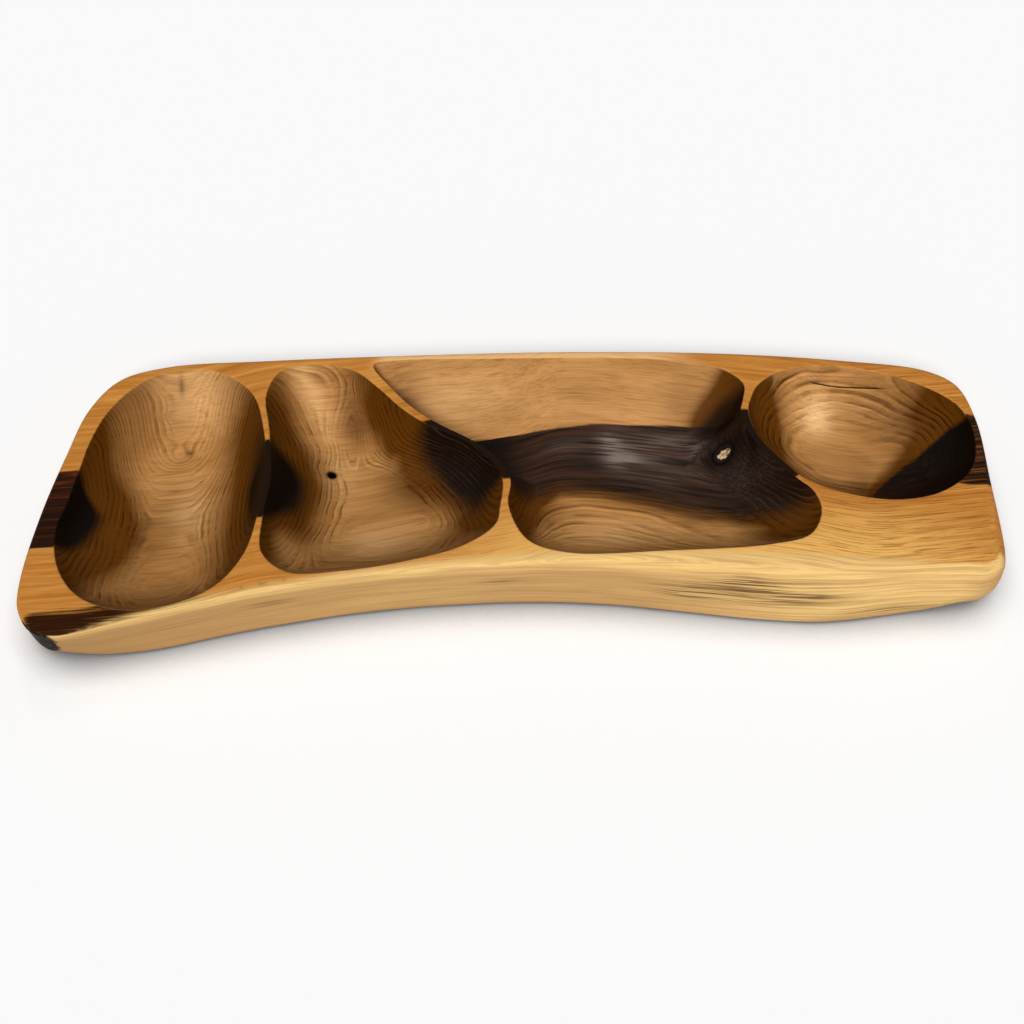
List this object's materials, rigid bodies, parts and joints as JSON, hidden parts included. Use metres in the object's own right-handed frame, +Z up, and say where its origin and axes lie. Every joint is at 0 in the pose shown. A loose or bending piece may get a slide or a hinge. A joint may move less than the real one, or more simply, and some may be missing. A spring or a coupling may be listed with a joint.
{
  "type": "appetizer dish",
  "caption": "Live-edge wooden appetizer dish: a thick bowed board with carved hollows divided by thin crests, for serving dips and finger food.",
  "frame": {"origin": "under the middle of the board's outline, on the surface that it stands on", "axes": "+X along the board towards the small end hollow, +Y towards the bowed back edge, +Z up"},
  "size_m": [0.4522, 0.1598, 0.036],
  "materials": {
    "oiled_wood": "oiled, satin",
    "knot_wood": "oiled, satin"
  },
  "bodies": {
    "root": {"slab": "oiled_wood", "knot": "knot_wood"}
  },
  "joints": []
}
